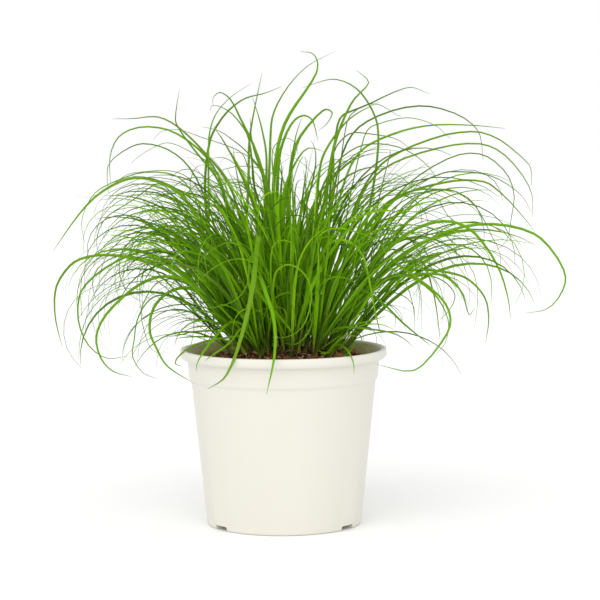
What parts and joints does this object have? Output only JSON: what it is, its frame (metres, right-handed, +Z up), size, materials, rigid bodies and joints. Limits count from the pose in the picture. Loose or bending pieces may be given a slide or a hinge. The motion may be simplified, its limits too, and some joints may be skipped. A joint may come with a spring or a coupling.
{
  "type": "potted cat grass",
  "caption": "Clump of long, thin arching grass leaves growing in a tapered plastic nursery pot with a rolled rim, for standing on a table or floor.",
  "frame": {"origin": "on the floor at the middle of the pot's underside", "axes": "+Z up along the pot's axis, -Y towards the front of the plant, +X towards the side where its longest leaf hangs"},
  "size_m": [0.294, 0.2001, 0.2742],
  "materials": {
    "pot_plastic": "satin cream plastic",
    "potting_soil": "damp, crumbly coir and peat",
    "pine_bark": "dry and rough",
    "grass_leaf": "fresh green leaf with a soft sheen"
  },
  "bodies": {
    "root": {"pot": "pot_plastic", "soil": "potting_soil", "bark_chip_1": "pine_bark", "bark_chip_2": "pine_bark", "bark_chip_3": "pine_bark", "bark_chip_4": "pine_bark", "bark_chip_5": "pine_bark", "shoot_01": "grass_leaf", "shoot_02": "grass_leaf", "shoot_03": "grass_leaf", "shoot_04": "grass_leaf", "shoot_05": "grass_leaf", "shoot_06": "grass_leaf", "shoot_07": "grass_leaf", "shoot_08": "grass_leaf", "shoot_09": "grass_leaf", "shoot_10": "grass_leaf", "shoot_11": "grass_leaf", "shoot_12": "grass_leaf", "shoot_13": "grass_leaf", "shoot_14": "grass_leaf", "shoot_15": "grass_leaf", "shoot_16": "grass_leaf", "shoot_17": "grass_leaf", "shoot_18": "grass_leaf", "shoot_19": "grass_leaf", "shoot_20": "grass_leaf", "shoot_21": "grass_leaf", "shoot_22": "grass_leaf", "shoot_23": "grass_leaf", "shoot_24": "grass_leaf", "shoot_25": "grass_leaf", "shoot_26": "grass_leaf", "shoot_27": "grass_leaf", "shoot_28": "grass_leaf", "shoot_29": "grass_leaf", "shoot_30": "grass_leaf", "shoot_31": "grass_leaf", "shoot_32": "grass_leaf", "shoot_33": "grass_leaf", "shoot_34": "grass_leaf", "shoot_35": "grass_leaf", "shoot_36": "grass_leaf", "shoot_37": "grass_leaf", "shoot_38": "grass_leaf", "shoot_39": "grass_leaf", "shoot_40": "grass_leaf", "shoot_41": "grass_leaf", "shoot_42": "grass_leaf", "shoot_43": "grass_leaf", "shoot_44": "grass_leaf", "shoot_45": "grass_leaf", "shoot_46": "grass_leaf"}
  },
  "joints": []
}
